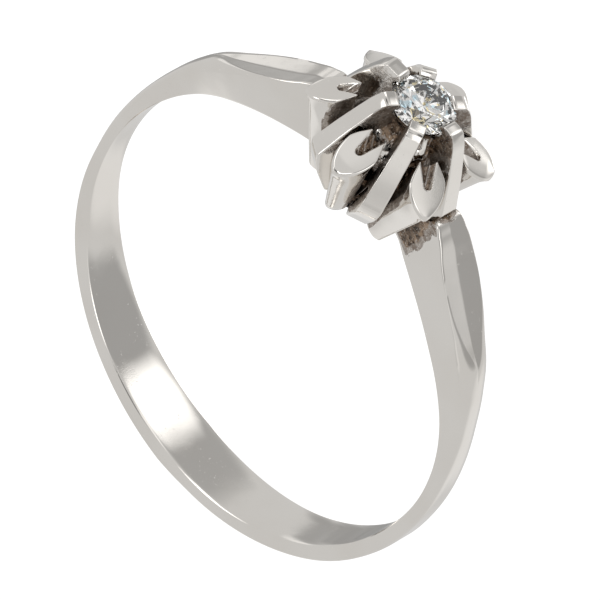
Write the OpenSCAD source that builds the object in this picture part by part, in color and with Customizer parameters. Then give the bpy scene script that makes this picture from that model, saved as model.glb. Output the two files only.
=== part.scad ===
// Solitaire ring with a flower setting, lying on its side.
// Each piece is drawn as the ring is worn, in millimetres from the middle of the finger hole:
// X across the finger, Y along the finger, Z up through the stone. lay_down() then rests it on a table.

/* [Finger hole] */
// Diameter of the finger hole
hole_d = 17; // [16:0.25:18.5]

/* [Shank] */
// Width of the band at the palm
palm_w = 2.4; // [2:0.1:2.8]
// Thickness of the band at the palm
palm_t = 0.72; // [0.6:0.02:1]
// Width of the band at its narrowest, beside the finger
side_w = 1.2; // [1.1:0.1:1.5]
// Height of the 45 degree shoulder line above the finger hole's wall
shoulder_rise = 1.43; // [1.2:0.01:1.6]
// Widest part of the leaf shaped facet on a shoulder
leaf_w = 1.66; // [1.3:0.02:1.8]
// Depth of the groove along the middle of that facet
leaf_groove = 0.1; // [0.04:0.01:0.16]

/* [Stone] */
// Diameter of the stone's girdle
stone_d = 2.4; // [2.2:0.02:2.4]
// Height of the girdle above the finger hole's wall
stone_h = 5.08; // [5:0.02:5.2]
// Width of the table as a share of the girdle
table_share = 0.57; // [0.53:0.01:0.62]
// Slope of the crown facets
crown_angle = 34.5; // [32:0.5:36]
// Slope of the pavilion facets
pavilion_angle = 40.8; // [40:0.1:42]

/* [Claws] */
// Width of a claw
claw_w = 0.78; // [0.6:0.02:0.84]
// Width of a claw at its tip
claw_tip_w = 0.62; // [0.5:0.02:0.7]

/* [Petals] */
// Reach of a petal's tip from the middle of the setting
petal_reach = 3.46; // [3.3:0.02:3.54]
// Height of a petal's tip above the finger hole's wall
petal_h = 3.3; // [3.2:0.02:3.36]
// Greatest width of a petal's leaf face
petal_w = 1.3; // [1.1:0.02:1.36]
// Slope of the leaf face, falling outwards
petal_slope = 37; // [34:1:40]
// Radius of the round nosed cut along the middle of a leaf face
notch_r = 0.22; // [0.16:0.01:0.26]

/* [Hidden] */

hole_r = hole_d / 2;
petals = 6;
step = 360 / petals;
$fn = 96;

// Heights and radii of the setting, from the middle of the finger hole and from the setting's axis.
girdle_z = hole_r + stone_h;
girdle_r = stone_d / 2;
girdle_t = 0.06;
seat_gap = 0.03;
crown_gap = 0.09;
collet_r = 1.55;
collet_hole_r = 0.8;
claw_top = stone_h + 0.42;

// The setting is hand finished, so each petal and claw stands a little off the even spacing. Columns of
// CLAW_SET: turn from the even spacing, how much lower it is. Columns of PETAL_SET: turn from the even
// spacing, extra reach of the tip, extra reach of the foot.
TURN = 0;
DROP = 1;
TIP = 1;
FOOT = 2;
CLAW_SET = [[0, 0], [2, 0.15], [9, 0.3], [6, 0], [3, 0], [1.5, 0]];
PETAL_SET = [[6.5, 0.02, 0], [6, -0.04, 0], [9, 0, 0], [2, 0.2, 0.2], [0, -0.06, 0], [2, 0, 0.2]];

// The ring rests on the back petal's tip and on the edge of the palm side of the band.
BACK_PETAL = 1;
EDGE_ROUND = 0.1;
palm_r = hole_r + palm_t;
tip_z = hole_r + petal_h;
rest_petal = (petal_reach + PETAL_SET[BACK_PETAL][TIP]) * cos(PETAL_SET[BACK_PETAL][TURN]);
palm_swell = 0.02;
rest_palm = palm_w / 2 + palm_swell;
rest_tilt = atan((rest_petal - rest_palm) / (tip_z + palm_r - EDGE_ROUND));
rest_h = rest_petal * cos(rest_tilt) - tip_z * sin(rest_tilt);
front_corner = 0.45;
front_y = -(hole_r + claw_top) * cos(rest_tilt) - front_corner * sin(rest_tilt);
back_y = palm_r * cos(rest_tilt) + palm_w / 2 * sin(rest_tilt);

// Stations of the shank, from beside the setting round to the palm, the same on both sides but for the
// hole's front edge. Columns: angle from the stone, half widths at the finger hole (front edge on the
// right, front edge on the left, back edge), half width outside, half width of the flat or leaf shaped
// facet, height over the hole, height of the rounding between the facet and the sides.
ANGLE = 0;
RIGHT = 1;
LEFT = 2;
BACK = 3;
OUTER = 4;
FACET = 5;
RISE = 6;
ROUND = 7;
palm_front = palm_w / 2 - 0.06;
function line_rise(a) = (hole_r + shoulder_rise) * sqrt(2) / (sin(a) + cos(a)) - hole_r;
STATIONS = [
    [11, 0.20, 0.26, 0.24, 0.42, 0.28, 0.35, 0.10],
    [13.5, 0.24, 0.34, 0.30, 0.50, 0.36, 1.75, 0.10],
    [15.5, 0.29, 0.41, 0.36, 0.58, 0.48, 2.65, 0.08],
    [19, 0.46, 0.48, 0.45, 0.70, 0.62, line_rise(19), 0.08],
    [24, 0.62, 0.56, 0.54, leaf_w / 2, leaf_w / 2 - 0.05, line_rise(24), 0.08],
    [29, 0.73, 0.60, 0.60, leaf_w / 2 + 0.03, leaf_w / 2, line_rise(29), 0.09],
    [35, 0.81, 0.61, 0.62, leaf_w / 2 + 0.01, leaf_w / 2 - 0.12, line_rise(35), 0.14],
    [41, 0.84, 0.57, 0.63, 0.76, 0.42, line_rise(41), 0.24],
    [47, 0.81, 0.48, 0.62, 0.69, 0.06, line_rise(47), 0.36],
    [54, 0.75, 0.40, side_w / 2, 0.63, 0.03, 1.20, 0.38],
    [64, 0.64, 0.42, side_w / 2, 0.60, 0.05, 0.87, 0.32],
    [78, 0.56, 0.54, side_w / 2, side_w / 2, 0.22, 0.62, 0.22],
    [95, 0.55, 0.64, 0.62, side_w / 2 + 0.01, 0.36, 0.55, 0.16],
    [108, 0.79, 0.74, 0.72, 0.73, 0.48, 0.64, 0.12],
    [122, 1.07, 0.86, 0.86, 0.88, 0.66, 0.68, 0.10],
    [142, 1.16, 1.03, 1.00, 1.02, 0.84, 0.69, 0.10],
    [162, palm_w / 2 + palm_swell, 1.10, 1.16, 1.12, 0.95, palm_t - 0.04, EDGE_ROUND],
    [180, palm_front, palm_front, palm_w / 2 + 0.06, palm_w / 2 - 0.03, 1.00, palm_t, EDGE_ROUND],
];

// Value of a column at an angle, on the smooth cubic through the stations.
function span_at(a, i = 0) = i >= len(STATIONS) - 2 || a <= STATIONS[i + 1][ANGLE] ? i : span_at(a, i + 1);
function slope_at(i, c) =
    let (lo = max(i - 1, 0), hi = min(i + 1, len(STATIONS) - 1))
    (STATIONS[hi][c] - STATIONS[lo][c]) / (STATIONS[hi][ANGLE] - STATIONS[lo][ANGLE]);
function column_at(a, c) =
    let (
        i = span_at(a),
        p = STATIONS[i],
        q = STATIONS[i + 1],
        run = q[ANGLE] - p[ANGLE],
        t = (a - p[ANGLE]) / run
    )
    (2 * t ^ 3 - 3 * t ^ 2 + 1) * p[c] + (3 * t ^ 2 - 2 * t ^ 3) * q[c]
    + run * (t ^ 3 - 2 * t ^ 2 + t) * slope_at(i, c) + run * (t ^ 3 - t ^ 2) * slope_at(i + 1, c);

// Half of the shank's section, from the finger hole to the middle of the outside. The hole's edges are
// worn a little wider than its middle, which liner() adds.
ROUND_STEPS = 4;
GROOVE_END = 50;
WEAR = 0.03;
RIDGE = 0.02;
LEDGE = 0.04;
function half_section(a, edge) =
    let (
        inner = column_at(a, edge),
        outer = max(column_at(a, OUTER), inner - LEDGE),
        facet = max(column_at(a, FACET), 2 * RIDGE),
        top = hole_r + column_at(a, RISE),
        rounding = column_at(a, ROUND),
        groove = a < GROOVE_END ? leaf_groove * 2 * facet / leaf_w : 0
    )
    [
        [inner, hole_r + WEAR],
        for (k = [0:ROUND_STEPS])
            let (b = 90 * k / ROUND_STEPS)
            [facet + (outer - facet) * cos(b), top - rounding * (1 - sin(b))],
        [RIDGE, top - groove],
    ];
function section(a, front) =
    let (back_half = half_section(a, BACK), front_half = half_section(a, front), last = len(front_half) - 1)
    concat(back_half, [for (k = [last:-1:0]) [-front_half[k][0], front_half[k][1]]]);

// Faces that join closed outlines of the same number of points, with both ends capped.
function loft_faces(rings, points) = concat(
    [[for (k = [0:points - 1]) k]],
    [[for (k = [points - 1:-1:0]) (rings - 1) * points + k]],
    [
        for (i = [0:rings - 2], k = [0:points - 1])
            let (n = (k + 1) % points)
            each [
                [i * points + k, (i + 1) * points + k, (i + 1) * points + n],
                [i * points + k, (i + 1) * points + n, i * points + n],
            ]
    ]
);

// Angles of the sections: close together on the shoulders, wider apart round the palm.
SHOULDER_STEP = 1.5;
BAND_STEP = 4;
shoulder_end = 56;
half_angles = concat(
    [for (a = [STATIONS[0][ANGLE]:SHOULDER_STEP:shoulder_end]) a],
    [for (a = [shoulder_end + BAND_STEP:BAND_STEP:180 - BAND_STEP]) a]
);
all_angles = concat(
    half_angles,
    [180],
    [for (k = [len(half_angles) - 1:-1:0]) 360 - half_angles[k]]
);

module shank() {
    points = [
        for (a = all_angles, p = a <= 180 ? section(a, RIGHT) : section(360 - a, LEFT))
            [p[1] * sin(a), p[0], p[1] * cos(a)]
    ];
    rings = len(all_angles);
    polyhedron(points, loft_faces(rings, len(points) / rings), convexity = 10);
}

// The round middle of the finger hole's wall.
LINER_HALF_W = 0.38;
LINER_START = 20;
module liner() {
    rotate([90, 0, 0])
        rotate([0, 0, 90 + LINER_START])
            rotate_extrude(angle = 360 - 2 * LINER_START, $fn = 180)
                translate([hole_r, -LINER_HALF_W])
                    square([palm_t / 2, 2 * LINER_HALF_W]);
}

// Outline of a claw seen from its side: radius and height over the finger hole.
CLAW_SIDE = [
    [1.2, 0.25], [1.85, 0.25], [2.25, 0.85], [2.65, 1.45], [2.92, 2.0], [3.03, 2.45], [2.44, 3.9],
    [1.9, 5.15], [1.8, 5.35], [1.62, 5.48], [1.36, claw_top], [1.14, 5.41], [1.05, 5.2], [1.05, 3.6],
];
CLAW_TAPER_H = 3.8;
CLAW_BEND_H = 5.2;
CLAW_POINT_SHY = 0.1;
claw_clear = girdle_z + 1;

module claw(drop) {
    intersection() {
        translate([0, 0, -drop])
            rotate([90, 0, 0])
                linear_extrude(claw_w, center = true)
                    polygon([for (p = CLAW_SIDE) [p[0], hole_r + p[1]]]);
        rotate([90, 0, 90])
            linear_extrude(petal_reach)
                polygon([
                    [-claw_w / 2, 0], [claw_w / 2, 0], [claw_w / 2, hole_r + CLAW_TAPER_H],
                    [claw_tip_w / 2, hole_r + CLAW_BEND_H], [claw_tip_w / 2 - CLAW_POINT_SHY, claw_clear],
                    [CLAW_POINT_SHY - claw_tip_w / 2, claw_clear], [-claw_tip_w / 2, hole_r + CLAW_BEND_H],
                    [-claw_w / 2, hole_r + CLAW_TAPER_H],
                ]);
    }
}

// Room for the stone, a little larger than the stone all round.
module stone_room() {
    rim_r = girdle_r + seat_gap;
    over = girdle_z + girdle_t / 2 + crown_gap;
    rotate_extrude()
        polygon([
            [0, girdle_z - girdle_r - crown_gap], [rim_r, girdle_z - girdle_t],
            [rim_r, over], [0, over + rim_r * tan(crown_angle)],
        ]);
}

// Sections of a petal. Columns: height over the finger hole, half width, length of the pointed part.
LEVEL = 0;
HALF = 1;
POINT = 2;
PETAL_ROWS = [
    [-0.6, 0.30, 0.50],
    [1.0, 0.45, 0.80],
    [2.4, 0.56, 1.02],
    [petal_h, petal_w / 2, 1.26],
];
POINT_STEPS = 5;
// The inner end of a petal, on its leaf face and inside the collet: distance from the axis, half width.
TOP_NECK = [1.95, 0.34];
LOW_NECK = [1.3, 0.12];
foot_r = 1.95;
foot_h = -0.2;
lean = (petal_reach - foot_r) / (petal_h - foot_h);
function petal_ridge(h) = foot_r + lean * (h - foot_h);
// Half width of the pointed part at a share of its length, full and curved like a leaf.
function leaf_curve(t) = sin(90 * t ^ 0.85);
// On the leaf face the height of a point follows from how far it lies behind the tip.
function leaf_lift(back) = back * tan(petal_slope) / (1 + lean * tan(petal_slope));
function petal_outline(row, top) =
    let (
        level = row[LEVEL],
        neck_r = (top ? TOP_NECK : LOW_NECK)[0],
        neck_w = (top ? TOP_NECK : LOW_NECK)[1],
        neck_h = level + (top ? (petal_reach - neck_r) * tan(petal_slope) : 0),
        side = [
            for (k = [0:POINT_STEPS])
                let (t = k / POINT_STEPS, up = top ? leaf_lift(t * row[POINT]) : 0)
                [petal_ridge(level) - t * row[POINT] + lean * up, row[HALF] * leaf_curve(t), level + up]
        ]
    )
    concat(
        side,
        [[neck_r, neck_w, neck_h], [neck_r, -neck_w, neck_h]],
        [for (k = [POINT_STEPS:-1:1]) [side[k][0], -side[k][1], side[k][2]]]
    );

// The round nosed cut starts this far behind the tip, runs inwards over this length and rises less steeply
// than the leaf face by this angle.
NOTCH_START = 1;
NOTCH_LENGTH = 2;
NOTCH_DIVE = 8;
NOTCH_LIFT = 0.06;

module petal(tip_extra, foot_extra) {
    extra = function (h) (h - foot_h) / (petal_h - foot_h) * (tip_extra - foot_extra) + foot_extra;
    last = len(PETAL_ROWS) - 1;
    outlines = [for (i = [0:last]) petal_outline(PETAL_ROWS[i], i == last)];
    difference() {
        polyhedron(
            [for (o = outlines, p = o) [p[0] + extra(p[2]), p[1], hole_r + p[2]]],
            loft_faces(len(outlines), len(outlines[0])),
            convexity = 4
        );
        translate([petal_reach - NOTCH_START, 0, tip_z + NOTCH_START * tan(petal_slope) + NOTCH_LIFT])
            rotate([0, petal_slope - NOTCH_DIVE - 90, 0]) {
                cylinder(r = notch_r, h = NOTCH_LENGTH, $fn = 24);
                sphere(r = notch_r, $fn = 24);
            }
    }
}

// The collet widens to its shoulder and closes in under the stone, where a lip carries the pavilion.
collet_shoulder = [0.2, 3.3];
collet_neck = [0.15, 3.7];
lip_drop = 0.3;
lip_out = 0.02;
lip_in = 0.14;
seat_drop = 0.75;

module collet() {
    rotate_extrude()
        polygon([
            [collet_hole_r, hole_r - 1],
            [collet_r - 0.1, hole_r - 1],
            [collet_r, hole_r + 1],
            [collet_r + collet_shoulder[0], hole_r + collet_shoulder[1]],
            [collet_r + collet_neck[0], hole_r + collet_neck[1]],
            [girdle_r - lip_out, girdle_z - lip_drop],
            [girdle_r - lip_in, girdle_z - lip_drop],
            [collet_hole_r, girdle_z - seat_drop],
        ]);
}

module setting() {
    collet();
    difference() {
        for (i = [0:petals - 1])
            rotate(step * i + CLAW_SET[i][TURN])
                claw(CLAW_SET[i][DROP]);
        stone_room();
    }
    for (i = [0:petals - 1])
        rotate(step * (i + 0.5) + PETAL_SET[i][TURN])
            petal(PETAL_SET[i][TIP], PETAL_SET[i][FOOT]);
}

// Round brilliant. Crown: table, 8 stars, 8 kites and 16 upper halves. Pavilion: 8 mains and 16 lower
// halves. The kites and mains are plane, so the heights of their side corners follow from their slopes.
MAINS = 8;
LOWER_SHARE = 0.22;
module brilliant() {
    half_turn = 180 / MAINS;
    corner = cos(half_turn);
    table_r = girdle_r * table_share;
    star_r = (table_r * corner + girdle_r) / 2;
    lower_r = girdle_r * LOWER_SHARE;
    top = girdle_t / 2;
    crown_at = function (r) top + (girdle_r - r) * tan(crown_angle);
    pavilion_at = function (r) -top - (girdle_r - r) * tan(pavilion_angle);
    ring = function (r, z, n, turn)
        [for (k = [0:n - 1]) [r * cos(360 / n * k + turn), r * sin(360 / n * k + turn), z]];
    points = concat(
        ring(table_r, crown_at(table_r), MAINS, half_turn),
        ring(star_r, crown_at(star_r * corner), MAINS, 0),
        ring(girdle_r, top, 2 * MAINS, 0),
        ring(girdle_r, -top, 2 * MAINS, 0),
        ring(lower_r, pavilion_at(lower_r * corner), MAINS, 0),
        [[0, 0, pavilion_at(0)]]
    );
    star = MAINS;
    upper = 2 * MAINS;
    lower = 4 * MAINS;
    half = 6 * MAINS;
    culet = 7 * MAINS;
    faces = concat(
        [[for (k = [MAINS - 1:-1:0]) k]],
        [
            for (k = [0:MAINS - 1])
                let (
                    next = (k + 1) % MAINS,
                    before = (k + MAINS - 1) % MAINS,
                    g = 2 * k,
                    g_next = 2 * k + 1,
                    g_before = (2 * k + 2 * MAINS - 1) % (2 * MAINS)
                )
                each [
                    [before, k, star + k],
                    [k, star + next, upper + g_next, star + k],
                    [star + k, upper + g_next, upper + g],
                    [star + k, upper + g, upper + g_before],
                    [half + k, lower + g, lower + g_next],
                    [half + k, lower + g_before, lower + g],
                    [culet, half + k, lower + g_next, half + next],
                ]
        ],
        [
            for (k = [0:2 * MAINS - 1])
                let (next = (k + 1) % (2 * MAINS))
                [upper + k, upper + next, lower + next, lower + k]
        ]
    );
    polyhedron(points, faces, convexity = 2);
}

// From the worn ring to the ring on its side, the stone's end towards -Y and a petal's tip on the table.
module lay_down() {
    translate([0, -(front_y + back_y) / 2, rest_h])
        rotate([90 + rest_tilt, 180, 0])
            children();
}

module band_and_setting() {
    color("silver")
        lay_down() {
            shank();
            liner();
            difference() {
                setting();
                rotate([90, 0, 0])
                    cylinder(r = hole_r, h = 4 * petal_reach, center = true, $fn = 180);
            }
        }
}

module diamond() {
    color("white")
        lay_down()
            translate([0, 0, girdle_z])
                brilliant();
}

band_and_setting();
diamond();
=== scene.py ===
import math

import bmesh
import bpy
from mathutils import Euler, Matrix, Vector, noise


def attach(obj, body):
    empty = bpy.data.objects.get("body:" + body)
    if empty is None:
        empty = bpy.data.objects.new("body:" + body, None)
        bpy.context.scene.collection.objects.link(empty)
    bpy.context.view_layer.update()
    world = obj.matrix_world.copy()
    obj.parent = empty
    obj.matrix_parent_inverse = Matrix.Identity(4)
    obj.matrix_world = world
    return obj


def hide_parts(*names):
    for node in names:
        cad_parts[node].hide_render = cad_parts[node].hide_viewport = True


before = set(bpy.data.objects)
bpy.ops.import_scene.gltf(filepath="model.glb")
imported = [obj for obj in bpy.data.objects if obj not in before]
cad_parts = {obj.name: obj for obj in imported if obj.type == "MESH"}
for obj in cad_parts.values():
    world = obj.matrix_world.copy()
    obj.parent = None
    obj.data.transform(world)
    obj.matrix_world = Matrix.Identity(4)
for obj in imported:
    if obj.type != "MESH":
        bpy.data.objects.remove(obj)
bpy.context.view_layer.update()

# ---------------------------------------------------------------------------------------------------------
# Sizes, in millimetres on the ring as it is worn: X across the finger, Y along the finger and away from the
# viewer, Z up through the stone, from the middle of the finger hole.

HOLE_R = 8.5
PALM_W, PALM_T, PALM_SWELL = 2.4, 0.72, 0.02
SIDE_W = 1.2
SHOULDER_RISE = 1.43
LEAF_W, LEAF_GROOVE = 1.66, 0.1
STONE_R, STONE_H = 1.2, 5.08
TABLE_SHARE, CROWN_ANGLE, PAVILION_ANGLE = 0.57, 34.5, 40.8
GIRDLE_T = 0.06
CLAW_W, CLAW_TIP_W = 0.78, 0.62
PETAL_REACH, PETAL_H, PETAL_W, PETAL_SLOPE = 3.46, 3.3, 1.3, 37
CLAW_TOP = STONE_H + 0.42
GIRDLE_Z = HOLE_R + STONE_H
TIP_Z = HOLE_R + PETAL_H

# How the ring rests on the table: on a back petal's tip and the edge of the palm side of the band.
EDGE_ROUND = 0.1
PALM_R = HOLE_R + PALM_T
REST_PETAL_SHORT, REST_PETAL_TURN = 0.04, 6
FRONT_CORNER = 0.45
REST_PETAL = (PETAL_REACH - REST_PETAL_SHORT) * math.cos(math.radians(REST_PETAL_TURN))
REST_TILT = math.atan((REST_PETAL - PALM_W / 2 - PALM_SWELL) / (TIP_Z + PALM_R - EDGE_ROUND))
REST_H = REST_PETAL * math.cos(REST_TILT) - TIP_Z * math.sin(REST_TILT)
FRONT_Y = -(HOLE_R + CLAW_TOP) * math.cos(REST_TILT) - FRONT_CORNER * math.sin(REST_TILT)
BACK_Y = PALM_R * math.cos(REST_TILT) + PALM_W / 2 * math.sin(REST_TILT)
MM = 0.001
LAY_DOWN = (
    Matrix.Scale(MM, 4)
    @ Matrix.Translation((0, -(FRONT_Y + BACK_Y) / 2, REST_H))
    @ Euler((math.pi / 2 + REST_TILT, math.pi, 0)).to_matrix().to_4x4()
)


def turn(degrees):
    """Rotation round Z."""
    return Matrix.Rotation(math.radians(degrees), 4, "Z")


def ease(low, high, x):
    """0 at low, 1 at high, smooth between them and level beyond them. Low may be the larger of the two."""
    t = min(max((x - low) / (high - low), 0), 1)
    return t * t * (3 - 2 * t)


def mix(a, b, t):
    return a + (b - a) * t


# ---------------------------------------------------------------------------------------------------------
# Shader maths

class Field:
    """A number, colour or vector that varies over a surface: one output socket of a node tree."""

    def __init__(self, tree, socket):
        self.tree, self.socket = tree, socket

    def math(self, operation, *values):
        return self.tree.node("Math", {"operation": operation}, dict(enumerate(values)))

    def __add__(self, other):
        return self.math("ADD", self, other)

    def __sub__(self, other):
        return self.math("SUBTRACT", self, other)

    def __rsub__(self, other):
        return self.math("SUBTRACT", other, self)

    def __mul__(self, other):
        return self.math("MULTIPLY", self, other)

    __radd__ = __add__
    __rmul__ = __mul__

    def rise(self, low, high):
        """0 below low, 1 above high and smooth between them."""
        return self.tree.node("MapRange", {"interpolation_type": "SMOOTHSTEP"}, {0: self, 1: low, 2: high})


class Tree:
    """A node tree, and the one way in which nodes are added to it."""

    def __init__(self, owner):
        self.nodes, self.links = owner.node_tree.nodes, owner.node_tree.links
        self.nodes.clear()

    def node(self, kind, settings, inputs, output=0):
        made = self.nodes.new("ShaderNode" + kind)
        for name, value in settings.items():
            setattr(made, name, value)
        for name, value in inputs.items():
            if isinstance(value, Field):
                self.links.new(value.socket, made.inputs[name])
            else:
                made.inputs[name].default_value = value
        return Field(self, made.outputs[output]) if made.outputs else made

    def mix_colour(self, factor, a, b):
        return self.node("Mix", {"data_type": "RGBA"}, {0: factor, 6: a, 7: b}, 2)

    def place_mm(self):
        """Place on a piece, in millimetres."""
        place = self.node("TexCoord", {}, {}, "Object")
        return self.mapped(place, (1 / MM, 1 / MM, 1 / MM))

    def mapped(self, where, scale, rotation=(0, 0, 0)):
        settings = {"vector_type": "POINT"}
        return self.node("Mapping", settings, {"Vector": where, "Scale": scale, "Rotation": rotation})

    def noise(self, where, scale, detail=3, roughness=0.5, distortion=0):
        return self.node("TexNoise", {}, {
            "Vector": where, "Scale": scale, "Detail": detail, "Roughness": roughness,
            "Distortion": distortion,
        })


def new_material(name):
    material = bpy.data.materials.new(name)
    material.use_nodes = True
    return material, Tree(material)


# White gold. Its attribute for stain and painted shade is 0 on polished gold, 1 on a rough sawn face, 2 on
# the brown walls inside the setting, whose brown is partly painted shade, and 3 in the black bottoms of the
# slots, which is painted shade. Colours in pairs vary between the two.
POLISHED = ((0.815, 0.785, 0.745, 1), (0.845, 0.82, 0.785, 1))
SAWN = ((0.25, 0.20, 0.165, 1), (0.52, 0.475, 0.435, 1))
# Light flecks on the sawn faces and on the brown walls are painted glints.
SAWN_GLINT_FLECK = (0.80, 0.78, 0.76, 1)
BROWN = ((0.037, 0.023, 0.015, 1), (0.41, 0.30, 0.215, 1))
BROWN_GLINT_FLECK = (0.66, 0.61, 0.55, 1)
BLACK = (0.006, 0.0045, 0.0035, 1)
PIT_DEPTH, HAIRLINE_DEPTH, SWELL_DEPTH, SAWN_DEPTH = 0.005, 0.0016, 0.025, 0.05


def make_white_gold():
    material, tree = new_material("white_gold")
    ring_mm = tree.place_mm()
    stain_and_shade = tree.node("Attribute", {"attribute_name": "stain_and_shade"}, {}, "Fac")
    grime = tree.noise(ring_mm, 2.9, 5, 0.62, 0.6)
    speckle = tree.noise(ring_mm, 9, 4, 0.65)
    glint_fleck = tree.noise(ring_mm, 16, 2, 0.5)
    soft = tree.noise(ring_mm, 0.35, 2, 0.5)
    amount = stain_and_shade + (speckle - 0.5) * 0.35
    rough = amount.rise(0.30, 0.60)
    polished = tree.mix_colour(soft.rise(0.3, 0.7), *POLISHED)
    sawn = tree.mix_colour(grime.rise(0.35, 0.65), *SAWN)
    # Painted glints: light flecks on the sawn faces, and below on the brown.
    sawn = tree.mix_colour(glint_fleck.rise(0.60, 0.70), sawn, SAWN_GLINT_FLECK)
    brown = tree.mix_colour((grime * 0.7 + speckle * 0.3).rise(0.40, 0.60), *BROWN)
    brown = tree.mix_colour(glint_fleck.rise(0.60, 0.68), brown, BROWN_GLINT_FLECK)
    colour = tree.mix_colour(rough, polished, sawn)
    # Brown where the stain is deep: partly painted shade on the walls inside the setting.
    colour = tree.mix_colour(amount.rise(1.2, 1.7), colour, brown)
    # Black in the bottoms of the slots, which is painted shade, and at the solder's end.
    colour = tree.mix_colour(amount.rise(2.2, 2.8), colour, BLACK)
    hairlines = tree.noise(tree.mapped(ring_mm, (14, 1.2, 5), (0.3, 0.5, 0.2)), 2.2, 3, 0.7)
    roughness = (hairlines - 0.5) * 0.05 + 0.07 + rough * 0.3
    worn = tree.noise(ring_mm, 0.8, 2).rise(0.45, 0.6)
    pits = speckle.rise(0.66, 0.74) * worn * PIT_DEPTH
    smooth = hairlines * (worn * HAIRLINE_DEPTH + HAIRLINE_DEPTH / 4) - pits
    saw_marks = rough * rough * (speckle * (0.7 * SAWN_DEPTH) + grime * SAWN_DEPTH)
    height = smooth * (1 - rough) + soft * SWELL_DEPTH + saw_marks
    bump = tree.node("Bump", {}, {"Strength": 1.0, "Distance": MM, "Height": height})
    shader = tree.node("BsdfPrincipled", {}, {
        "Base Color": colour, "Metallic": 1.0, "Roughness": roughness, "Normal": bump,
    })
    tree.node("OutputMaterial", {}, {"Surface": shader})
    return material


# Diamond, with faint blue and amber fire painted into its colour in patches, for the colours that its facets
# split from white light.
CLEAR, PAINTED_BLUE_FIRE, PAINTED_AMBER_FIRE = (1, 0.99, 0.975, 1), (0.50, 0.80, 0.97, 1), (1, 0.74, 0.26, 1)


def make_diamond_glass():
    material, tree = new_material("diamond")
    ring_mm = tree.place_mm()
    blue_fire_patches, amber_fire_patches = tree.noise(ring_mm, 2.6, 1), tree.noise(ring_mm, 3.4, 1)
    colour = tree.mix_colour(blue_fire_patches.rise(0.64, 0.66), CLEAR, PAINTED_BLUE_FIRE)
    colour = tree.mix_colour(amber_fire_patches.rise(0.64, 0.66), colour, PAINTED_AMBER_FIRE)
    shader = tree.node("BsdfPrincipled", {}, {
        "Base Color": colour, "Roughness": 0.0, "IOR": 2.417, "Transmission Weight": 1.0,
    })
    tree.node("OutputMaterial", {}, {"Surface": shader})
    return material


WHITE_GOLD = make_white_gold()
DIAMOND = make_diamond_glass()


# ---------------------------------------------------------------------------------------------------------
# Pieces

# How far the feet of the claws and petals stand proud of the cup at the finger hole's wall.
FOOT_LIFT = 0.012
MERGE_DISTANCE = 0.0004


def start():
    """An empty mesh, and the layer that holds each of its points' stain and painted shade."""
    bm = bmesh.new()
    return bm, bm.verts.layers.float.new("stain_and_shade")


def finish(
    name, bm, sharp, node="band_and_setting", material=WHITE_GOLD, place=Matrix(),
    lift=FOOT_LIFT,
):
    """Turns a worked mesh into a piece: closed, facing outwards, filed flush with the finger hole's wall and
    laid down on the table. Edges sharper than the given angle stay sharp, and 0 keeps every facet flat."""
    bmesh.ops.remove_doubles(bm, verts=bm.verts, dist=MERGE_DISTANCE)
    bmesh.ops.recalc_face_normals(bm, faces=bm.faces)
    bmesh.ops.transform(bm, matrix=place, verts=bm.verts)
    stain_and_shade = bm.verts.layers.float["stain_and_shade"]
    for v in bm.verts:
        if v.co.z > 0.8 * HOLE_R and v.co.xz.length < HOLE_R:
            v.co.z = math.sqrt(HOLE_R**2 - v.co.x**2) + lift
            v[stain_and_shade] = 0
    bmesh.ops.transform(bm, matrix=LAY_DOWN, verts=bm.verts)
    for face in bm.faces:
        face.smooth = sharp > 0
    mesh = bpy.data.meshes.new(name)
    bm.to_mesh(mesh)
    bm.free()
    if sharp:
        mesh.set_sharp_from_angle(angle=math.radians(sharp))
    mesh.materials.append(material)
    piece = bpy.data.objects.new(name, mesh)
    bpy.context.scene.collection.objects.link(piece)
    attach(piece, "root")
    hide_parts(node)


def outline(bm, points):
    """A closed loop of edges through the points."""
    verts = [bm.verts.new(p) for p in points]
    return [bm.edges.new((verts[k - 1], verts[k])) for k in range(len(verts))]


def skin(bm, rings):
    """Bridges closed outlines of the same number of points one to the next, and fills both ends."""
    loops = [outline(bm, ring) for ring in rings]
    for near, far in zip(loops, loops[1:]):
        bmesh.ops.bridge_loops(bm, edges=near + far)
    for loop in (loops[0], loops[-1]):
        bmesh.ops.edgeloop_fill(bm, edges=loop)


# Shank. Stations from beside the setting round to the palm. Columns: angle from the stone, half widths at
# the finger hole (front edge on the right, front edge on the left, back edge), half width outside, half
# width of the flat or leaf shaped facet, height over the hole, height of the rounding between facet and
# sides.
ANGLE, RIGHT, LEFT, BACK, OUTER, FACET, RISE, ROUND = range(8)


def line_rise(angle):
    """Height over the hole of a shoulder's top, which is straight and slopes at 45 degrees."""
    a = math.radians(angle)
    return (HOLE_R + SHOULDER_RISE) * math.sqrt(2) / (math.sin(a) + math.cos(a)) - HOLE_R


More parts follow.
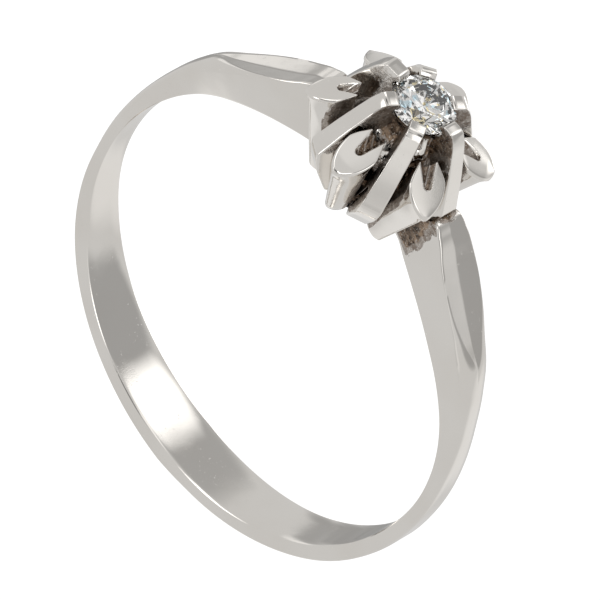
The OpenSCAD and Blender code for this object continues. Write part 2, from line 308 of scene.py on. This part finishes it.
STATIONS = [
    (11, 0.20, 0.26, 0.24, 0.42, 0.28, 0.35, 0.10),
    (13.5, 0.24, 0.34, 0.30, 0.50, 0.36, 1.75, 0.10),
    (15.5, 0.29, 0.41, 0.36, 0.58, 0.48, 2.65, 0.08),
    (19, 0.46, 0.48, 0.45, 0.70, 0.62, line_rise(19), 0.08),
    (24, 0.62, 0.56, 0.54, LEAF_W / 2, LEAF_W / 2 - 0.05, line_rise(24), 0.08),
    (29, 0.73, 0.60, 0.60, LEAF_W / 2 + 0.03, LEAF_W / 2, line_rise(29), 0.09),
    (35, 0.81, 0.61, 0.62, LEAF_W / 2 + 0.01, LEAF_W / 2 - 0.12, line_rise(35), 0.14),
    (41, 0.84, 0.57, 0.63, 0.76, 0.42, line_rise(41), 0.24),
    (47, 0.81, 0.48, 0.62, 0.69, 0.06, line_rise(47), 0.36),
    (54, 0.75, 0.40, SIDE_W / 2, 0.63, 0.03, 1.20, 0.38),
    (64, 0.64, 0.42, SIDE_W / 2, 0.60, 0.05, 0.87, 0.32),
    (78, 0.56, 0.54, SIDE_W / 2, SIDE_W / 2, 0.22, 0.62, 0.22),
    (95, 0.55, 0.64, 0.62, SIDE_W / 2 + 0.01, 0.36, 0.55, 0.16),
    (108, 0.79, 0.74, 0.72, 0.73, 0.48, 0.64, 0.12),
    (122, 1.07, 0.86, 0.86, 0.88, 0.66, 0.68, 0.10),
    (142, 1.16, 1.03, 1.00, 1.02, 0.84, 0.69, 0.10),
    (162, PALM_W / 2 + PALM_SWELL, 1.10, 1.16, 1.12, 0.95, PALM_T - 0.04, EDGE_ROUND),
    (
        180, PALM_W / 2 - 0.06, PALM_W / 2 - 0.06, PALM_W / 2 + 0.06, PALM_W / 2 - 0.03, 1.00, PALM_T,
        EDGE_ROUND,
    ),
]


def station_slope(i, column):
    low, high = max(i - 1, 0), min(i + 1, len(STATIONS) - 1)
    return (STATIONS[high][column] - STATIONS[low][column]) / (STATIONS[high][ANGLE] - STATIONS[low][ANGLE])


def shank_size(angle, column):
    """Value of a column at an angle, on the smooth cubic through the stations."""
    i = 0
    while i < len(STATIONS) - 2 and angle > STATIONS[i + 1][ANGLE]:
        i += 1
    p, q = STATIONS[i], STATIONS[i + 1]
    run = q[ANGLE] - p[ANGLE]
    t = (angle - p[ANGLE]) / run
    return (
        (2 * t**3 - 3 * t**2 + 1) * p[column] + (3 * t**2 - 2 * t**3) * q[column]
        + run * (t**3 - 2 * t**2 + t) * station_slope(i, column)
        + run * (t**3 - t**2) * station_slope(i + 1, column)
    )


RIDGE, LEDGE = 0.02, 0.04
GROOVE_END = 50
CORNER_STEPS, SIDE_STEPS = 6, 30
# Wear of the hole wall: how round its edges are, and how far from its back and front edges it starts to
# widen and by how much.
RIM_ROUND = 0.08
WORN_BACK, WORN_FRONT = (0.7, 0.065), (0.3, 0.012)


def half_section(angle, edge):
    """Half widths and radii of one side of the shank's section, from the hole wall to the ridge on top."""
    inner = shank_size(angle, edge)
    outer = max(shank_size(angle, OUTER), inner - LEDGE)
    facet = max(shank_size(angle, FACET), 2 * RIDGE)
    top = HOLE_R + shank_size(angle, RISE)
    corner = shank_size(angle, ROUND)
    groove = LEAF_GROOVE * 2 * facet / LEAF_W if angle < GROOVE_END else 0
    rim = min(RIM_ROUND, inner / 3)
    worn_w, worn_h = WORN_BACK if edge == BACK else WORN_FRONT
    fade = min(worn_w, 0.6 * (inner - rim))
    drop = worn_h * fade / worn_w
    points = [(inner - rim - fade * (1 - t), HOLE_R + drop * t * t) for t in (0, 0.25, 0.5, 0.75)]
    for b in map(math.radians, (0, 30, 60, 90)):
        points.append((inner - rim * (1 - math.sin(b)), HOLE_R + drop + rim * (1 - math.cos(b)) * 0.8))
    low_w, low_r = points[-1]
    for k in range(1, SIDE_STEPS):
        points.append((mix(low_w, outer, k / SIDE_STEPS), mix(low_r, top - corner, k / SIDE_STEPS)))
    for k in range(CORNER_STEPS + 1):
        b = math.pi / 2 * k / CORNER_STEPS
        points.append((facet + (outer - facet) * math.cos(b), top - corner * (1 - math.sin(b))))
    points += [(mix(facet, RIDGE, t), top - groove * t) for t in (0.1, 0.9)]
    return points + [(RIDGE, top - groove)]


def shank_section(angle):
    """Outline of the shank's section at an angle from the stone, 0 to 360."""
    folded = min(angle, 360 - angle)
    back, front = half_section(folded, BACK), half_section(folded, RIGHT if angle <= 180 else LEFT)
    a = math.radians(angle)
    around = back + [(-width, radius) for width, radius in reversed(front)]
    return [(radius * math.sin(a), width, radius * math.cos(a)) for width, radius in around]


# How far apart the shank's sections are, up to an angle from the stone: close where the solder ends.
SECTION_GAPS = [(21, 0.25), (56, 1), (180, 2)]
# The solder beside the setting, in degrees from the stone: where it ends, where it ends on the front of the
# right shoulder at the hole wall and at the top, and how far inside its end it is black, on a shoulder's
# sides and on its top. Its edge on the right is ragged: scales and sizes of the noises.
SOLDER_END = 16.5
FRONT_SOLDER_LOW, FRONT_SOLDER_HIGH = 19.2, 16
BLACK_AFTER, TOP_BLACK_AFTER = 3.2, 1.2
RAGGED = [(2.2, 1.1), (6, 0.7), (14, 0.5)]
TOP_FACET_H = 0.12


def make_shank():
    bm, stain_and_shade = start()
    first = STATIONS[0][ANGLE]
    angles = [first]
    for end, gap in SECTION_GAPS:
        while angles[-1] < end:
            angles.append(angles[-1] + gap)
    angles += [360 - a for a in reversed(angles[:-1])]
    skin(bm, [shank_section(a) for a in angles])
    for v in bm.verts:
        angle, radius = math.degrees(math.atan2(v.co.x, v.co.z)), v.co.xz.length
        solder_end, black_after, ragged = SOLDER_END, BLACK_AFTER, 0
        if angle > 0:
            ragged = sum(noise.noise(v.co * scale) * size for scale, size in RAGGED)
        if radius > HOLE_R - TOP_FACET_H + shank_size(max(abs(angle), first), RISE):
            black_after = TOP_BLACK_AFTER
        elif angle > 0 and v.co.y < 0:
            solder_end = mix(FRONT_SOLDER_LOW, FRONT_SOLDER_HIGH, ease(9, 12.6, radius))
        near = solder_end - abs(angle) + ragged
        brown, black = ease(-0.3, 0.6, near), ease(0.28 * black_after, black_after, near)
        v[stain_and_shade] = (0.9 * brown + 1.5 * black) * ease(HOLE_R + 0.05, HOLE_R + 0.4, radius)
    finish("shank", bm, sharp=24, lift=0)


# Cup that the claws and petals stand round, with its open back: radius and height of its outline. Its outside
# is uneven, with folds, dents and a fine grain of these depths, and sunk so that its mean place is kept.
CUP = [
    (0.80, HOLE_R - 0.15), (1.47, HOLE_R - 0.12), (1.55, HOLE_R + 1), (1.75, HOLE_R + 3.3),
    (1.70, HOLE_R + 3.7), (1.18, GIRDLE_Z - 0.3), (1.06, GIRDLE_Z - 0.3), (0.80, GIRDLE_Z - 0.75),
]
CUP_SIDES, CUP_CUTS = 180, 16
CUP_OUTSIDE_R = 1.2
FOLD, DENT, GRAIN, SINK = 0.18, 0.08, 0.03, 0.24
# Side of the cup that is made lighter.
BRIGHT_SIDE = Vector((math.cos(math.radians(196)), math.sin(math.radians(196))))


def make_cup():
    bm, stain_and_shade = start()
    edges = outline(bm, [(r, 0, h) for r, h in CUP])
    bmesh.ops.subdivide_edges(bm, edges=[e for e in edges if e.calc_length() > 0.3], cuts=CUP_CUTS)
    bmesh.ops.spin(
        bm, geom=bm.verts[:] + bm.edges[:], axis=(0, 0, 1), cent=(0, 0, 0), dvec=(0, 0, 0),
        angle=2 * math.pi, steps=CUP_SIDES, use_merge=True,
    )
    for v in bm.verts:
        radius = v.co.xy.length
        v[stain_and_shade] = 2
        # Painted highlight and shade: the folds' tops are lighter and their creases darker, and the low part,
        # down among the petals' feet, is painted black. The bright side is lighter.
        if radius > CUP_OUTSIDE_R:
            around = Vector((v.co.x * 1.5 / radius, v.co.y * 1.5 / radius, v.co.z * 0.6))
            fold = 1 - 2 * abs(noise.noise(around * 1.7))
            dent = 1 - 2 * abs(noise.noise(around * 4.3))
            grain = noise.noise(v.co * 5)
            v.co.xy *= 1 + (FOLD * fold + DENT * dent + GRAIN * grain - SINK) / radius
            v[stain_and_shade] = 2 + 0.4 * ease(0.6, 0.1, fold) - 1.8 * ease(0.46, 0.70, 0.6 * fold + 0.4 * dent)
            v[stain_and_shade] -= 1.1 * ease(0.84, 0.97, v.co.xy.normalized() @ BRIGHT_SIDE)
            v[stain_and_shade] += 1.5 * ease(HOLE_R + 3.1, HOLE_R + 2.2, v.co.z + 0.5 * grain)
    finish("cup", bm, sharp=25, lift=0)


# Claws. The outline seen from the side has its widest corner near the foot. Columns: radius and height over
# the finger hole, how far the corner is rounded, share of the bend's shift.
CLAW_CORNER_R, CLAW_CORNER_H, CLAW_LEAN = 3.03, 2.45, 0.42
CLAW_SIDE = [
    (1.2, 0.25, 0, 0), (1.85, 0.25, 0.1, 0), (2.25, 0.85, 0.2, 0), (2.65, 1.45, 0.2, 0),
    (2.92, 2.0, 0.15, 0), (CLAW_CORNER_R, CLAW_CORNER_H, 0, 0), (1.90, 5.14, 0.22, 1), (1.62, 5.48, 0.12, 1),
    (1.18, 5.49, 0.07, 0), (1.02, 5.30, 0, 0), (1.24, 5.19, 0, 0), (1.24, 5.02, 0, 0), (1.05, 4.84, 0, 0),
    (1.05, 3.6, 0, 0),
]
CLAW_TAPER_H, CLAW_BEND_H = 3.8, 5.2
CLAW_EDGE, CLAW_EDGE_ANGLE = 0.045, 34
CLAW_BULGE, CLAW_BULGE_H = 0.05, 2.7
# The tip's top is polished: heights between which the stain ends.
CLAW_CLEAN = (5.48, 5.42)
# Even cuts that give the flanks and faces their points. Columns: direction, first and last distance, gap.
CLAW_CUTS = [
    ((0, 0, 1), -2, 2.8, 0.2), ((1, 0, CLAW_LEAN), -1.75, 0, 0.15), ((0, 1, 0), -0.26, 0.26, 0.26),
]
# Columns: name, direction round the setting, how much lower, how much further in, how much further out the
# bend is, stain of the flanks, which is partly painted shade and set lower on flanks that catch the light,
# height where that begins.
CLAWS = [
    ("claw_right", 0, 0, 0, 0, 1.5, 3.4), ("claw_back_right", 62, 0.19, 0.1, 0, 0.7, 2.3),
    ("claw_back_left", 134, 0.08, 0, -0.22, 0.1, 2.3), ("claw_left", 186, 0, 0, 0.2, 0.38, 2.3),
    ("claw_front_left", 243, 0, 0, 0, 0.9, 2.3), ("claw_front_right", 301.5, 0, 0, 0, 1.4, 2.3),
]


def claw_half_width(height):
    taper = max(height - CLAW_TAPER_H, 0) / (CLAW_BEND_H - CLAW_TAPER_H)
    return mix(CLAW_W, CLAW_TIP_W, min(taper, 1.2)) / 2


def make_claw(name, direction, drop, inward, bend_out, sawn, sawn_from):
    bm, stain_and_shade = start()
    corners = [(r - inward + bend_out * share, 0, HOLE_R + h - drop) for r, h, _, share in CLAW_SIDE]
    bmesh.ops.edgeloop_fill(bm, edges=outline(bm, corners))
    for corner, (_, _, rounding, _) in list(zip(bm.verts[:], CLAW_SIDE)):
        if rounding:
            bmesh.ops.bevel(
                bm, geom=[corner], offset=rounding, segments=5, profile=0.5, affect="VERTICES", material=-1,
            )
    bmesh.ops.translate(bm, vec=(0, -0.5, 0), verts=bm.verts[:])
    side = bmesh.ops.extrude_face_region(bm, geom=bm.faces[:])["geom"]
    bmesh.ops.translate(bm, vec=(0, 1, 0), verts=[g for g in side if isinstance(g, bmesh.types.BMVert)])
    for v in bm.verts:
        v.co.y *= 2 * claw_half_width(v.co.z + drop - HOLE_R)
    bmesh.ops.recalc_face_normals(bm, faces=bm.faces)
    rims = [e for e in bm.edges if e.calc_face_angle(0) > math.radians(CLAW_EDGE_ANGLE)]
    bmesh.ops.bevel(
        bm, geom=rims, offset=CLAW_EDGE, segments=3, profile=0.5, affect="EDGES", material=-1,
        clamp_overlap=False,
    )
    middle = Vector((CLAW_CORNER_R, 0, HOLE_R + CLAW_CORNER_H))
    for normal, first, last, gap in CLAW_CUTS:
        for k in range(round((last - first) / gap) + 1):
            bmesh.ops.bisect_plane(
                bm, geom=bm.verts[:] + bm.edges[:] + bm.faces[:], dist=1e-4,
                plane_co=middle + Vector(normal) * (first + k * gap), plane_no=normal,
            )
    # Painted shade: towards the setting's middle, in its hollow, the stain deepens, which goes with that of
    # the flanks.
    inner_shade = 0.7 + 0.8 * sawn**2
    for v in bm.verts:
        height = v.co.z + drop - HOLE_R
        up_face = min(max((height - CLAW_CORNER_H) / CLAW_BULGE_H, 0), 1)
        v.co.x += CLAW_BULGE * math.sin(math.pi * up_face) ** 2
        flank = ease(0.9, 0.995, abs(v.co.y) / claw_half_width(height))
        outer_r = CLAW_CORNER_R - inward - CLAW_LEAN * abs(height - CLAW_CORNER_H)
        within = outer_r - v.co.x + 0.1 * noise.noise(v.co * 2.5)
        upper = ease(sawn_from, sawn_from + 0.9, height + 0.5 * noise.noise(v.co * 1.7))
        v[stain_and_shade] = flank * upper * mix(sawn, inner_shade, ease(0.6, 1.1, within))
        v[stain_and_shade] = max(v[stain_and_shade], inner_shade * ease(0.85, 1.1, within)) * ease(*CLAW_CLEAN, height)
    finish(name, bm, sharp=32, place=turn(direction))


# Petals. Rows of the wall below the leaf face: height over the finger hole, half width, length of the pointed
# part.
PETAL_ROWS = [(PETAL_H, PETAL_W / 2, 1.26), (2.4, 0.56, 1.02), (1.0, 0.45, 0.80), (-0.6, 0.30, 0.50)]
FOOT_R, FOOT_H = 1.95, -0.2
LEAN = (PETAL_REACH - FOOT_R) / (PETAL_H - FOOT_H)
# Where a petal ends towards the cup, and its half width there: at the leaf face and below.
NECK_R, NECK_W = 1.95, 0.34
LOW_NECK_R, LOW_NECK_W = 1.3, 0.12
LEAF_NECK = PETAL_REACH - NECK_R
# Columns: name, direction round the setting, extra reach of the tip, extra reach of the foot, distance of the
# notch behind the tip, ribs in the notch, crown of the leaf face, how much wider the leaf is, how blunt its
# tip is, its slope, stain of the notch.
PETALS = [
    ("petal_back_right", 36.5, 0.02, 0, 0.72, 0, 0.08, 1.12, 0.52, 24, 0.9),
    ("petal_back", 96, -0.07, 0, 1.6, 0, 0.03, 1.16, 0.6, 12, 0.9),
    ("petal_back_left", 159, 0, -0.4, 1.6, 0, 0.03, 1, 0.85, 33, 0.9),
    ("petal_front_left", 212, 0.2, 0.2, 0.86, 3, 0.08, 0.95, 0.6, PETAL_SLOPE, 1.0),
    ("petal_front", 270, -0.06, 0, 0.74, 4, 0.02, 1.04, 0.6, PETAL_SLOPE, 1.8),
    ("petal_front_right", 332, 0, 0.2, 0.76, 1, 0.015, 1.04, 0.72, PETAL_SLOPE, 1.5),
]
LEAF_ROWS, LEAF_COLUMNS = 76, 64
LEAF_EDGE, LEAF_NOSE = 0.07, 0.03
NOTCH_R, NOTCH_SPREAD, NOTCH_DEPTH, RIB_H = 0.16, 0.26, 0.32, 0.14
# The wall's first rows turn down from the leaf face: how much lower and further in each is than the last, and
# its share of the last one's width. The rows below are evenly spaced and settle into PETAL_ROWS.
WALL_TURNS = [(0.06, 0, 1), (0.03, 0.03, 0.955), (0.03, 0.01, 0.985)]
WALL_TOP = (0.10, 0.13, 0.16)
WALL_STEP, WALL_SETTLED = 0.22, 9
# Painted shade: the wall's inner end, in the slot by the cup, is darker, the more its notch is stained beyond
# a clean one.
INNER_END_SHADE, CLEAN_NOTCH = 2.2, 0.9


def petal_ridge(height):
    return FOOT_R + LEAN * (height - FOOT_H)


def leaf_curve(t, blunt):
    """Share of the full width at a share of the pointed part's length."""
    return math.sin(math.pi / 2 * min(t, 1) ** blunt)


def leaf_half_width(back, point, blunt):
    """Half width of the leaf face at a distance behind its tip, with a pointed part of the given length."""
    if back < point:
        return PETAL_W / 2 * leaf_curve(back / point, blunt)
    return mix(PETAL_W / 2, NECK_W, ((back - point) / (LEAF_NECK - point)) ** 1.3)


def petal_row(height):
    """Half width and length of the pointed part of the wall at a height over the finger hole."""
    for high, low in zip(PETAL_ROWS, PETAL_ROWS[1:]):
        if height >= low[0]:
            break
    t = (height - low[0]) / (high[0] - low[0])
    return mix(low[1], high[1], t), mix(low[2], high[2], t)


def notch(back, y, start_back, ribs):
    """Depth and stain of the notch in a leaf face at a distance behind the tip and to one side."""
    radius = NOTCH_R + NOTCH_SPREAD * max(back - start_back - NOTCH_R, 0)
    inside = radius - math.hypot(max(start_back + NOTCH_R - back, 0), y)
    cut = min(max((inside + 0.02) / (radius + 0.02), 0), 1)
    if ribs == 1:
        rib = math.exp(-(((y + 0.08 - 0.25 * (back - start_back)) / 0.035) ** 2))
    else:
        rib = max(math.sin(math.pi * ribs * 1.9 * (back + y)), 0) ** 1.5 if ribs else 0
    rib *= ease(0, 0.04, inside)
    depth = NOTCH_DEPTH * (cut * cut * (3 - 2 * cut)) ** 0.6 - RIB_H * rib * cut
    return depth, ease(0.015, 0.06, inside) * (1 - 0.75 * rib)


def make_petal(
    name, direction, tip_extra, foot_extra, notch_start, ribs, crown, wider, blunt, slope, notch_stain,
):
    bm, stain_and_shade = start()
    fall = math.tan(math.radians(slope))
    point = PETAL_ROWS[0][2] / (1 + LEAN * fall)
    along = bm.verts.layers.float.new("along")
    across = bm.verts.layers.float.new("across")
    bmesh.ops.create_grid(bm, x_segments=LEAF_ROWS, y_segments=LEAF_COLUMNS, size=1)
    # The rows are closer near the tip, and the columns near the rims.
    for v in bm.verts:
        behind, side = (v.co.x + 1) / 2, v.co.y
        behind = 0.6 * behind + 0.4 * behind**2
        side = math.copysign(1 - (1 - abs(side)) ** 1.15, side)
        back = behind * LEAF_NECK
        v[across] = side
        v[along] = back / point if back < point else 1 + (back - point) / (LEAF_NECK - point)
        half = wider * leaf_half_width(max(back, 0.004), point, blunt)
        y = side * half
        rim = min(half - abs(y), back * 0.9)
        lip = LEAF_EDGE - math.sqrt(max(LEAF_EDGE**2 - max(LEAF_EDGE - rim, 0) ** 2, 0))
        nose = LEAF_NOSE * ease(0.4, 0, back)
        depth, sawn = notch(back, y, notch_start, ribs)
        v[stain_and_shade] = notch_stain * sawn
        v.co = (PETAL_REACH - back, y, TIP_Z + back * fall - crown * side * side - nose - lip - depth)
    rim_edges = [e for e in bm.edges if e.is_boundary]
    heights = [PETAL_H - down for down in WALL_TOP]
    while heights[-1] > PETAL_ROWS[-1][0] + WALL_STEP:
        heights.append(heights[-1] - WALL_STEP)
    for row, height in enumerate(heights):
        grown = bmesh.ops.extrude_edge_only(bm, edges=rim_edges)["geom"]
        rim_edges = [g for g in grown if isinstance(g, bmesh.types.BMEdge)]
        for v in [g for g in grown if isinstance(g, bmesh.types.BMVert)]:
            t, side = v[along], v[across]
            if row < len(WALL_TURNS):
                lower, inward, narrower = WALL_TURNS[row]
                v.co.x -= inward
                v.co.y *= narrower
                v.co.z -= lower
            else:
                half, length = petal_row(height)
                r = petal_ridge(height) - min(t, 1) * length
                y = half * leaf_curve(t, blunt)
                if t > 1:
                    r, y = mix(r, LOW_NECK_R, t - 1), mix(y, LOW_NECK_W, t - 1)
                settled = mix(1, ease(len(WALL_TURNS), WALL_SETTLED, row), min(t, 1))
                v.co = (
                    mix(v.co.x, r, settled), mix(v.co.y, y * side, settled),
                    mix(v.co.z - WALL_STEP, HOLE_R + height, settled),
                )
            sawn_from = mix(0.98, 0.66, ease(0.1, 0.9, PETAL_H - height)) + 0.06 * noise.noise(v.co * 3)
            v[stain_and_shade] = ease(sawn_from, sawn_from + 0.06, t)
            # Painted shade at the inner end, in the slot by the cup.
            v[stain_and_shade] += INNER_END_SHADE * (notch_stain - CLEAN_NOTCH) * ease(1.35, 1.7, t)
    bmesh.ops.edgeloop_fill(bm, edges=rim_edges)
    for v in bm.verts:
        height = v.co.z - HOLE_R
        v.co.y *= mix(1, 1.05, noise.noise((v.co.z * 0.8, direction, 0)))
        v.co.x += (height - FOOT_H) / (PETAL_H - FOOT_H) * (tip_extra - foot_extra) + foot_extra
    finish(name, bm, sharp=40, place=turn(direction))


# Round brilliant, ground from a blank: each facet is one flat cut. MAINS is the number of main facets. The
# lower halves reach in to a share of the radius, and a point at DEEP_R sets the slope of the lower mains.
MAINS, BLANK_SIDES = 8, 96
LOWER_SHARE, DEEP_R = 0.22, 0.2
GIRDLE_WAVE = 0.004


def polar(radius, angle, height):
    a = math.radians(angle)
    return Vector((radius * math.cos(a), radius * math.sin(a), height))


def grind(bm, a, b, c):
    """One flat cut through three points, which takes off the side away from the stone's middle."""
    normal = (b - a).cross(c - a).normalized()
    if normal.dot(a) < 0:
        normal.negate()
    cut = bmesh.ops.bisect_plane(
        bm, geom=bm.verts[:] + bm.edges[:] + bm.faces[:], dist=1e-5, plane_co=a, plane_no=normal,
        clear_outer=True,
    )["geom_cut"]
    bmesh.ops.edgeloop_fill(bm, edges=[g for g in cut if isinstance(g, bmesh.types.BMEdge)])


def make_diamond():
    bm, _ = start()
    step = 360 / MAINS
    top = GIRDLE_T / 2
    table_r = STONE_R * TABLE_SHARE
    crown, pavilion = math.tan(math.radians(CROWN_ANGLE)), math.tan(math.radians(PAVILION_ANGLE))
    corner = math.cos(math.radians(step / 2))
    table_h = top + (STONE_R - table_r) * crown
    star_r = (table_r * corner + STONE_R) / 2
    star_h = top + (STONE_R - star_r * corner) * crown
    lower_r = LOWER_SHARE * STONE_R
    lower_h = -top - (STONE_R - lower_r * corner) * pavilion
    deep_h = -top - (STONE_R - DEEP_R) * pavilion
    bmesh.ops.create_cone(bm, cap_ends=True, segments=BLANK_SIDES, radius1=STONE_R, radius2=STONE_R, depth=3)
    grind(bm, polar(table_r, 0, table_h), polar(table_r, 90, table_h), polar(table_r, 180, table_h))
    for k in range(MAINS):
        main, star = k * step, (k + 0.5) * step
        foot = polar(STONE_R, main, top)
        side = polar(STONE_R, main + 90, 0).normalized()
        grind(bm, foot, foot + side, polar(table_r, main, table_h))
        foot = polar(STONE_R, main, -top)
        grind(bm, foot, foot + side, polar(DEEP_R, main, deep_h))
        table_corner, next_corner = polar(table_r, main, table_h), polar(table_r, main + step, table_h)
        grind(bm, table_corner, next_corner, polar(star_r, star, star_h))
    for k in range(MAINS):
        main = k * step
        for half in (-step / 2, step / 2):
            grind(
                bm, polar(star_r, main + half, star_h), polar(STONE_R, main, top),
                polar(STONE_R, main + half, top + GIRDLE_WAVE),
            )
            grind(
                bm, polar(lower_r, main + half, lower_h), polar(STONE_R, main, -top),
                polar(STONE_R, main + half, -top - GIRDLE_WAVE),
            )
    finish(
        "brilliant", bm, sharp=0, node="diamond", material=DIAMOND,
        place=Matrix.Translation((0, 0, GIRDLE_Z)) @ turn(17),
    )


make_shank()
make_cup()
for row in CLAWS:
    make_claw(*row)
for row in PETALS:
    make_petal(*row)
make_diamond()


# ---------------------------------------------------------------------------------------------------------
# Table, studio light and camera

def sky(azimuth, elevation):
    """Direction in the sky: azimuth from +Y towards +X, and height over the horizon."""
    a, e = math.radians(azimuth), math.radians(elevation)
    return Vector((math.sin(a) * math.cos(e), math.cos(a) * math.cos(e), math.sin(e)))


# Soft boxes and dark flags of the studio. Columns: azimuth, elevation, half width where it starts to fade,
# half width where it ends, brightness added to the room's even light.
ROOM = 0.67
SOFT_BOXES = [
    (-175, -33, 5, 21, 0.95), (-128, -27, 18, 30, -0.27), (154, -34, 8, 26, -0.24),
    (32, -41, 1, 12, -0.33), (54, -40, 1, 12, -0.31), (76, -41, 1, 12, -0.27), (86, -29, 4, 8, 0.24),
    (-56, -42, 8, 26, 0.17), (6, -8, 14, 26, 0.17), (-98, 50, 4, 22, 0.16), (-66, 48, 3, 14, -0.08),
    (160, 33, 4, 12, 0.12), (-134, 3, 4, 12, 0.24),
    (125, 42, 3, 18, 1.3), (-124, 34, 2, 16, 1.3), (140, -8, 2, 11, 1.4), (20, -74, 6, 12, 2.0),
    (-135, -68, 5, 14, 0.9), (64, 52, 5, 12, 2.4), (-20, 74, 6, 16, -0.3), (-178, 63, 7, 12, 2.4),
    (178, -3, 8, 16, 0.5),
    (-162.6, 43.6, 8, 13, -0.42), (176, 21, 5, 9, -0.5), (150, 10, 4, 9, -0.55), (-152, 10, 5, 10, -0.55),
    (150, 72, 7, 13, -0.6), (-120, 64, 6, 11, -0.6), (92, 64, 6, 12, -0.6),
]


def light_room():
    world = bpy.data.worlds.new("studio")
    bpy.context.scene.world = world
    world.use_nodes = True
    tree = Tree(world)
    look = tree.node("TexCoord", {}, {}, "Generated")
    boxes = []
    for azimuth, elevation, full, end, brightness in SOFT_BOXES:
        towards = {0: look, 1: sky(azimuth, elevation)}
        facing = tree.node("VectorMath", {"operation": "DOT_PRODUCT"}, towards, "Value")
        boxes.append(facing.rise(math.cos(math.radians(end)), math.cos(math.radians(full))) * brightness)
    strength = sum(boxes[1:], boxes[0]) + ROOM
    shader = tree.node("Background", {}, {"Color": (1, 0.995, 0.985, 1), "Strength": strength})
    tree.node("OutputWorld", {}, {"Surface": shader})


# Pale paper, lit from within so that it stays near white. It lies just below the ring.
TABLE_SIZE, TABLE_GLOW, TABLE_GAP = 1.5, 0.88, 0.02 * MM


def lay_table():
    bm = bmesh.new()
    bmesh.ops.create_grid(bm, x_segments=1, y_segments=1, size=TABLE_SIZE)
    mesh = bpy.data.meshes.new("table")
    bm.to_mesh(mesh)
    bm.free()
    material, tree = new_material("table_paper")
    paper = tree.node("BsdfPrincipled", {}, {
        "Base Color": (0.3, 0.3, 0.3, 1), "Roughness": 0.9, "Specular IOR Level": 0.0,
        "Emission Color": (1, 1, 1, 1), "Emission Strength": TABLE_GLOW,
    })
    tree.node("OutputMaterial", {}, {"Surface": paper})
    mesh.materials.append(material)
    table = bpy.data.objects.new("table", mesh)
    table.location.z = -TABLE_GAP
    table.visible_glossy = False
    bpy.context.scene.collection.objects.link(table)


# The camera looks down at the ring from the stone's end, rolled so that the stone is at the upper right.
CAMERA_AT = Vector((-60.79, -194.379, 194.354)) * MM
CAMERA_AIM = Vector((-0.81, -0.351, 3.4)) * MM
CAMERA_ROLL = 117.329
CAMERA_LENS = 478.3
SENSOR = 36


def set_camera():
    data = bpy.data.cameras.new("camera")
    data.lens, data.sensor_width = CAMERA_LENS, SENSOR
    data.clip_start, data.clip_end = 0.01, 10
    camera = bpy.data.objects.new("camera", data)
    bpy.context.scene.collection.objects.link(camera)
    away = (CAMERA_AIM - CAMERA_AT).normalized()
    level = away.to_track_quat("-Z", "Y").to_matrix().to_4x4()
    camera.matrix_world = Matrix.Translation(CAMERA_AT) @ level @ turn(-CAMERA_ROLL)
    bpy.context.scene.camera = camera


light_room()
lay_table()
set_camera()
bpy.context.scene.view_settings.view_transform = "Standard"
